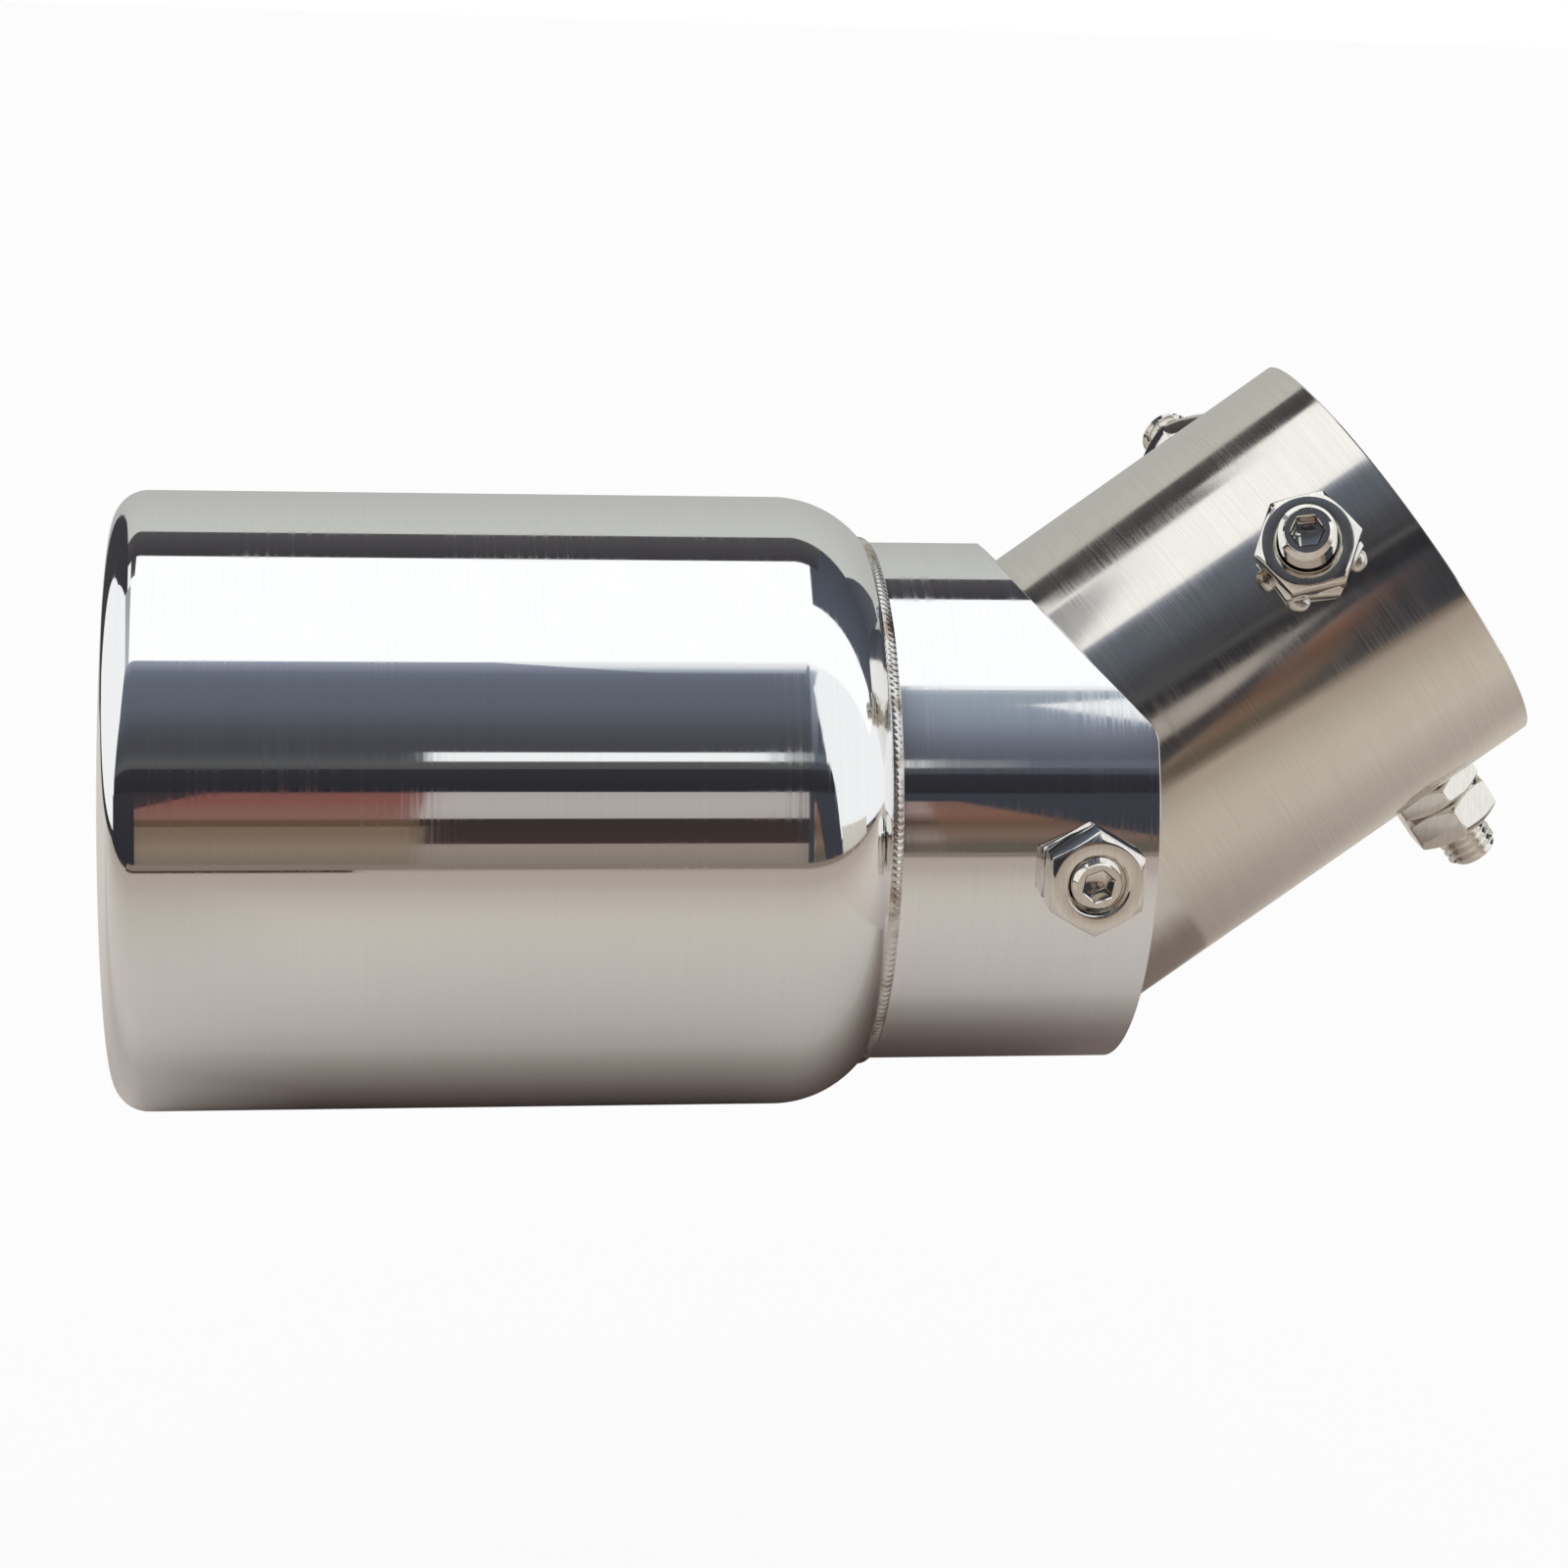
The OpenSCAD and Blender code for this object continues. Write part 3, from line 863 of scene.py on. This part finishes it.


# Painted reflections of the studio: each card glows with shades that hold the studio's light and shade
CARDS = (
    Card("left_low_dark_card", (-900, -900), (-153, -153), ((-6.2, "#303036"), (18.4, "#36363b"))),
    Card("left_corner_card", (-154, -154), (-153, -134), ((12.5, "#4a3c3a"), (18.4, "#38363a")), IN_FRONT),
    Card("left_low_card", (-153, -153), (-84, -82),
         ((-6.2, "#7c7064"), (-4.5, "#827568"), (-0.5, "#8d7c6c"), (4.0, "#7f6e5d"), (6.8, "#7d6b5a"))),
    Card("left_line_card", (-153, -153), (-84, -84), ((6.8, "#634f3e"), (9.2, "#6b5243"))),
    Card("left_red_card", (-153, -153), (-84, -82),
         ((9.2, "#86655c"), (12.0, "#87625b"), (15.7, "#87564e"), (17.6, "#835650"), (18.4, "#6a4844"))),
    Card("right_low_card", (-84, -84), (13, 13),
         ((-6.2, "#8b8178"), (-4.5, "#8d837a"), (-0.5, "#978a81"), (0.8, "#978a81"))),
    Card("right_brown_card", (-84, -84), (13, 13), ((0.8, "#403633"), (9.4, "#3b3230"))),
    Card("right_pale_card", (-84, -82), (13, 13), ((9.4, "#b4aca6"), (14.0, "#b9b1ab"), (18.4, "#b4aca8"))),
    Card("right_dark_card", (13, 13), (295, 215), ((-6.2, "#3c3e45"), (18.4, "#3e4148"))),
    Card("sleeve_pink_card", (38, 38), (50, 44),
         ((-6.2, "#6f655c"), (-3.0, "#6b5f55"), (0.0, "#93857b"), (3.5, "#7a6a5f"), (6.5, "#57443b"),
          (11.0, "#a08880"), (15.0, "#9a837c")), IN_FRONT),
    Card("sleeve_brown_card", (50, 44), (128, 52),
         ((-6.2, "#665d52"), (-3.0, "#645c50"), (1.0, "#7f685b"), (6.0, "#6d5647"), (10.0, "#84604f"),
          (15.0, "#7c5f58")), IN_FRONT),
    Card("near_dark_card", (-820, -780), (215, 175), ((18.4, "#2d2d31"), (26.2, "#333338"))),
    Card("near_edge_card", (-780, -740), (13, 13), ((26.2, "#555553"), (28.8, "#5a5b5c"))),
    Card("right_edge_card", (13, 13), (175, 150), ((26.2, "#4a4d53"), (28.8, "#4f525a"))),
    Card("near_faint_line", (-740, -690), (-82, -82), ((28.8, "#55565b"), (32.0, "#4b4c52"))),
    Card("near_blue_card", (-690, -450), (13, 13),
         ((32.0, "#4a4a4f"), (36.0, "#4b4c51"), (40.0, "#51545a"), (44.2, "#5a5f68"), (48.0, "#606571"))),
    Card("upper_blue_card", (-450, -350), (13, 13),
         ((48.0, "#606571"), (52.6, "#626975"), (56.8, "#666d78"), (60.0, "#6f7583"))),
    Card("top_blue_card", (-350, -322), (13, 16), ((60.0, "#6f7583"), (61.2, "#7f8594"), (64.2, "#9aa0ae"))),
    Card("softbox_hem_card", (-25, -70), (14, 20),
         ((60.4, "#8d94a1"), (61.4, "#b0b7c0"), (62.6, "#e6e9ec"), (64.6, "#ffffff")), IN_FRONT),
    Card("overhead_softbox", (-245, -245), (20, 75), ((64.2, "#ffffff"), (110.8, "#ffffff")), NEAR_BY, SOFTBOX),
    Card("left_gap_card", (-322, -338), (-245, -245), ((64.2, "#b9babd"), (98.0, "#a3a4a8"))),
    Card("far_dark_card", (-300, -300), (118, 118), ((110.8, "#403d40"), (118.0, "#4a484b"), (126.0, "#565355"))),
    Card("pipe_dark_card", (-250, -250), (-188, -180),
         ((101.0, "#717274"), (105.0, "#4c4b4d"), (111.5, "#454345")), IN_FRONT),
    Card("far_grey_card", (-300, -280), (700, 700), ((126.0, "#cdcec8"), (187.0, "#b4b3b1"))),
    Card("far_left_dark_card", (-345, -480), (-300, -295), ((98.0, "#3a393d"), (120.0, "#3d3c40"))),
    Card("far_left_grey_card", (-480, -600), (-295, -280), ((120.0, "#3d3c40"), (187.0, "#403f43"))),
    Card("right_wedge_card", (262, 365), (900, 900), ((126.0, "#4d4f57"), (152.0, "#5b5e65")), IN_FRONT),
    Card("right_low_pale_card", (295, 275), (900, 900), ((-6.2, "#cfc8be"), (5.0, "#d6d0c7"))),
    Card("wall_line_backing", (-1700, -1700), (560, 560), ((17.0, "#3a3a3e"), (36.0, "#45464b")), BEHIND_WALL),
    Card("wall_white_line", (-55, -55), (150, 150), ((29.0, "#ffffff"), (32.6, "#ffffff")), ON_WALL),
    Card("wall_pale_line", (150, 150), (221, 221), ((29.0, "#96979a"), (32.6, "#8b8c90")), ON_WALL),
    Card("wall_bright_dash", (221, 221), (237, 236), ((29.0, "#dcdcda"), (32.6, "#e2e2e0")), ON_WALL),
    Card("wall_grey_line", (237, 236), (290, 290), ((29.0, "#87888b"), (32.6, "#7d7f84")), ON_WALL),
    Card("wall_blue_line", (290, 290), (630, 595), ((29.0, "#676e78"), (32.6, "#646974")), ON_WALL),
    Card("wall_strip_card", (60, 60), (225, 225),
         ((32.6, "#4a4b51"), (41.0, "#52555c"), (49.0, "#60656f"), (57.0, "#666c78"), (65.6, "#858c9a")), ON_WALL),
    # The sleeve's cards are lighter and bluer than the strip's beside them: painted haze, the softbox's light spread
    # by the sleeve's buffing lines
    Card("wall_sleeve_card", (225, 225), (378, 372),
         ((32.6, "#5f636c"), (35.1, "#626670"), (40.1, "#6f7380"), (45.1, "#7f8491"), (49.0, "#8992a0")), ON_WALL),
    Card("wall_haze_card", (225, 225), (372, 300), ((49.0, "#8992a0"), (52.0, "#8f98a4"), (57.0, "#98a2ad")), ON_WALL),
    Card("wall_upper_card", (225, 225), (300, 420),
         ((57.0, "#98a2ad"), (61.2, "#9fa9b3"), (64.0, "#bcc4cd")), ON_WALL),
    Card("wall_dark_card", (378, 372), (595, 373), ((32.6, "#484b53"), (49.0, "#565b65")), ON_WALL),
    Card("wall_gap_card", (176, 206), (184, 216), ((66.0, "#8e9096"), (112.0, "#8e9096")), BEFORE_WALL),
    Card("wall_softbox", (40, 40), (4000, 4000), ((66.0, "#ffffff"), (93.5, "#ffffff")), ON_WALL, SOFTBOX),
    Card("wall_softbox_end", (40, 40), (392, 384), ((93.5, "#ffffff"), (117.0, "#ffffff")), ON_WALL, SOFTBOX),
    Card("wall_wedge_card", (392, 384), (4000, 4000), ((93.5, "#565b66"), (131.0, "#484a52")), ON_WALL),
)

# The pale table past the mouth and beside the barrel, from its near side to its far one: it darkens under the barrel,
# where its darker shades are painted shade
TABLE_END: tuple[Shade, ...] = (
    (-0.33, "#b0a297"), (-0.3, "#bdaea3"), (-0.21, "#c0b4a9"), (-0.113, "#d2cabf"), (-0.045, "#e1dad4"),
    (-0.0375, "#dcd5cf"), (-0.032, "#d3ccc5"), (-0.0226, "#dad2cb"), (-0.016, "#e2d9d3"), (0.016, "#e8dfd8"),
    (0.05, "#e6ded6"), (0.8, "#e6dfd5"))
TABLE: tuple[Shade, ...] = (
    (-0.33, "#b0a297"), (-0.3, "#bdaea3"), (-0.21, "#c0b4a9"), (-0.113, "#dcd3c7"), (-0.045, "#e7e0da"),
    (-0.0375, "#e2dad4"), (-0.032, "#ccc5bc"), (-0.0226, "#afa29b"), (-0.016, "#a2948e"), (0.016, "#a2948e"),
    (0.05, "#e2dacf"), (0.8, "#e6dfd5"))

SHEETS = (
    # Stands for the table under a barrel that has swung down past the other sheets
    Sheet("low_table_sheet", -3.0, 3.0, ((-3.0, "#b3a89e"), (-0.2, "#b9aea4"), (3.0, "#b3a89e")),
          0.1 * MM - SWING_ROOM),
    Sheet("far_dark_sheet", -3.0, 3.0, ((-3.0, "#3a383b"), (3.0, "#3a383b")), 0.04 * MM),
    Sheet("front_brown_sheet", -0.25, 1.5, ((-1.2, "#8a7c6f"), (-0.33, "#8f8275")), 0.08 * MM),
    Sheet("front_dark_line", -0.25, -0.1, ((-0.33, "#4a3f38"), (-0.302, "#4a3f38")), 0.14 * MM),
    Sheet("table_end_sheet", -0.9, -0.128, TABLE_END, 0.1 * MM),
    Sheet("table_fade_sheet", -0.128, -0.106, TABLE_END, 0.1 * MM, TABLE),
    Sheet("table_sheet", -0.106, 0.045, TABLE, 0.1 * MM),
    # Beside the pipe the table darkens less: its shades from -0.03 to 0.0 are painted shade under the pipe
    Sheet("table_right_sheet", 0.045, 3.0,
          ((-0.33, "#b0a297"), (-0.3, "#bdaea3"), (-0.21, "#c0b4a9"), (-0.134, "#d3c7bd"), (-0.1, "#dbd2c7"),
           (-0.06, "#ddd5cb"), (-0.03, "#cfc5bd"), (0.0, "#c9beb6"), (0.05, "#dcd3c9"), (0.8, "#e6dfd5")),
          0.1 * MM),
)


@dataclass
class Studio:
    """The floor, the cards, the world and the camera."""

    card_steps: int = 32
    floor_drop: float = 0.2 * MM
    floor_size: float = 12.0
    floor_colour: str = "#f4f4f4"
    fill_strength: float = 0.9
    white_share: float = 0.88
    azimuth_deg: float = -7.84
    elevation_deg: float = 15.23
    roll_deg: float = 2.06
    distance: float = 0.488
    target: tuple[float, float, float] = (-37.8 * MM, 0, 2.45 * MM)
    lens: float = 76.1
    sensor: float = 36.0
    clip: Point = (0.01, 50.0)

    @property
    def rest_level(self) -> float:
        """The level that the object lies on."""
        return CAD_BOX[0][2] - self.floor_drop

    @staticmethod
    def seen_by_eye(tree: bpy.types.NodeTree) -> bpy.types.NodeSocket:
        """Adds the test for rays from the camera, or from it by a reflection or through glass.

        Args:
            tree: The node tree that needs it.

        Returns:
            A socket that is 1 for such rays.
        """
        ray = add_node(tree, "ShaderNodeLightPath").outputs
        mirrored = add_node(tree, "ShaderNodeMath", {"operation": "MAXIMUM"},
                            {0: ray["Is Camera Ray"], 1: ray["Is Glossy Ray"]})
        return add_node(tree, "ShaderNodeMath", {"operation": "MAXIMUM"},
                        {0: mirrored.outputs["Value"], 1: ray["Is Transmission Ray"]}).outputs["Value"]

    @staticmethod
    def staged(bm: bmesh.types.BMesh, name: str, material: bpy.types.Material) -> bpy.types.Object:
        """Makes a piece of the studio.

        Args:
            bm: Its mesh, which is freed.
            name: Its name.
            material: Its material.

        Returns:
            The object, linked to the scene.
        """
        mesh = bpy.data.meshes.new(name)
        bm.to_mesh(mesh)
        bm.free()
        mesh.materials.append(material)
        piece = bpy.data.objects.new(name, mesh)
        bpy.context.scene.collection.objects.link(piece)
        return piece

    @staticmethod
    def tone_at(shades: tuple[Shade, ...], place: float) -> Vector:
        """Finds the colour at a place between shades.

        Args:
            shades: Colours by place, in rising order.
            place: The place asked for.

        Returns:
            The linear colour there.
        """
        for (start, first), (end, last) in zip(shades, shades[1:]):
            if place <= end:
                break
        share = min(max((place - start) / (end - start), 0), 1)
        return Vector(linear(first)).lerp(Vector(linear(last)), share)

    def build_card(self, card: Card) -> None:
        """Bends one card round the barrel's axis.

        Args:
            card: The card to build.
        """
        material, tree = new_material(card.name)
        shade = add_node(tree, "ShaderNodeAttribute", {"attribute_name": "shade"})
        # The card glows with its painted shades, though only the softboxes stand for lamps
        glow = add_node(tree, "ShaderNodeEmission", {"Strength": card.strength},
                        {"Color": shade.outputs["Color"]})
        add_node(tree, "ShaderNodeOutputMaterial", links={"Surface": glow.outputs["Emission"]})
        bm = bmesh.new()
        first_deg, last_deg = card.shades[0][0], card.shades[-1][0]
        start = radians(first_deg)
        ends = [bm.verts.new((x, -card.radius * cos(start), card.radius * sin(start))) for x in (-1, 1)]
        edge = bm.edges.new(ends)
        bmesh.ops.spin(bm, geom=ends + [edge], cent=(0, 0, 0), axis=(1, 0, 0), dvec=(0, 0, 0),
                       angle=radians(first_deg - last_deg), steps=self.card_steps,
                       use_merge=False, use_duplicate=False)
        layer = bm.verts.layers.float_color.new("shade")
        for vert in bm.verts:
            deg = (degrees(atan2(vert.co.z, -vert.co.y)) - first_deg + 1) % 360 - 1 + first_deg
            share = (deg - first_deg) / (last_deg - first_deg)
            vert[layer] = self.tone_at(card.shades, deg)
            near, far = card.left if vert.co.x < 0 else card.right
            vert.co.x = (near + (far - near) * share) * MM
        self.hide_from_all_but_reflections(self.staged(bm, card.name, material))

    def build_sheet(self, sheet: Sheet) -> None:
        """Lays one sheet under the object.

        Args:
            sheet: The sheet to lay.
        """
        material, tree = new_material(sheet.name)
        shade = add_node(tree, "ShaderNodeAttribute", {"attribute_name": "shade"})
        paper = add_node(tree, "ShaderNodeBsdfDiffuse", links={"Color": shade.outputs["Color"]})
        below = add_node(tree, "ShaderNodeNewGeometry").outputs["Backfacing"]
        clear = add_node(tree, "ShaderNodeBsdfTransparent")
        seen = add_node(tree, "ShaderNodeMixShader",
                        links={0: below, 1: paper.outputs["BSDF"], 2: clear.outputs["BSDF"]})
        add_node(tree, "ShaderNodeOutputMaterial", links={"Surface": seen.outputs["Shader"]})
        rows = len(sheet.shades) - 1
        bm = bmesh.new()
        bmesh.ops.create_grid(bm, x_segments=1, y_segments=rows, size=0.5)
        layer = bm.verts.layers.float_color.new("shade")
        for vert in bm.verts:
            on_left = vert.co.x < 0
            shades = sheet.shades if on_left or not sheet.right_shades else sheet.right_shades
            place, colour = shades[round((vert.co.y + 0.5) * rows)]
            vert[layer] = linear(colour)
            vert.co = Vector((sheet.left if on_left else sheet.right, place, self.rest_level + sheet.lift))
        self.hide_from_all_but_reflections(self.staged(bm, sheet.name, material))

    @staticmethod
    def hide_from_all_but_reflections(piece: bpy.types.Object) -> None:
        """Hides a card or sheet from the camera, from diffuse light and from shadows."""
        piece.visible_camera = piece.visible_diffuse = piece.visible_shadow = False

    def build_floor(self) -> None:
        """Lays the pale floor, which keeps the object's shadow."""
        material, tree = new_material("pale_floor")
        matt = add_node(tree, "ShaderNodeBsdfDiffuse", {"Color": linear(self.floor_colour)})
        white = add_node(tree, "ShaderNodeEmission", {"Color": linear("#ffffff"), "Strength": 1.0})
        share = add_node(tree, "ShaderNodeMath", {"operation": "MULTIPLY", 1: self.white_share},
                         {0: self.seen_by_eye(tree)})
        both = add_node(tree, "ShaderNodeMixShader", links={
            0: share.outputs["Value"], 1: matt.outputs["BSDF"], 2: white.outputs["Emission"]})
        add_node(tree, "ShaderNodeOutputMaterial", links={"Surface": both.outputs["Shader"]})
        bm = bmesh.new()
        bmesh.ops.create_grid(bm, x_segments=1, y_segments=1, size=self.floor_size / 2,
                              matrix=Matrix.Translation((0, 0, self.rest_level - SWING_ROOM)))
        self.staged(bm, "floor", material)

    def build_world(self) -> None:
        """Fills the studio with even white light."""
        world = bpy.data.worlds.new("white_studio")
        world.use_nodes = True
        tree = world.node_tree
        tree.nodes.clear()
        white = add_node(tree, "ShaderNodeBackground", {"Color": linear("#ffffff"), "Strength": 1.0})
        fill = add_node(tree, "ShaderNodeBackground", {"Color": linear("#ffffff"), "Strength": self.fill_strength})
        both = add_node(tree, "ShaderNodeMixShader", links={
            0: self.seen_by_eye(tree), 1: fill.outputs["Background"], 2: white.outputs["Background"]})
        add_node(tree, "ShaderNodeOutputWorld", links={"Surface": both.outputs["Shader"]})
        bpy.context.scene.world = world
        bpy.context.scene.view_settings.view_transform = "Standard"

    def build_camera(self) -> None:
        """Places the camera where the picture was taken from."""
        azimuth, elevation = radians(self.azimuth_deg), radians(self.elevation_deg)
        back = Vector((sin(azimuth) * cos(elevation), -cos(azimuth) * cos(elevation), sin(elevation)))
        lens = bpy.data.cameras.new("portrait_camera")
        lens.lens = self.lens
        lens.sensor_width = self.sensor
        lens.clip_start, lens.clip_end = self.clip
        camera = bpy.data.objects.new("portrait_camera", lens)
        turn = back.to_track_quat("Z", "Y") @ Quaternion((0, 0, 1), radians(self.roll_deg))
        stand = Matrix.Translation(Vector(self.target) + back * self.distance)
        camera.matrix_world = stand @ turn.to_matrix().to_4x4()
        bpy.context.scene.collection.objects.link(camera)
        bpy.context.scene.camera = camera

    def build(self) -> None:
        """Builds the whole studio."""
        self.build_world()
        self.build_floor()
        for sheet in SHEETS:
            self.build_sheet(sheet)
        for card in CARDS:
            self.build_card(card)
        self.build_camera()


MIRROR = MIRROR_STAINLESS.material()
BUFFED = BUFFED_STAINLESS.material()
SATIN = SATIN_STAINLESS.material()
NICKEL = BRIGHT_NICKEL.material()
WELD = WeldMetal().material()


def main() -> None:
    """Builds the studio and every piece of the exhaust tip."""
    logging.basicConfig(level=logging.INFO, format="%(message)s")
    Studio().build()
    barrel = Barrel()
    barrel.build_shell()
    barrel.build_bead()
    collar = Collar()
    collar.build()
    pipe = InletPipe()
    pipe.build()
    stacks = Stacks(pipe, collar, Hardware())
    for side, nut_turn, socket_turn in ((Side.RIGHT, 38, 30), (Side.LEFT, 24, 12), (Side.LOWER, 32, 48)):
        stacks.build_clamp(side, nut_turn, socket_turn)
    for side, socket_turn in ((Side.RIGHT, 20), (Side.LEFT, 44)):
        stacks.build_pivot(side, socket_turn)


if __name__ == "__main__":
    main()
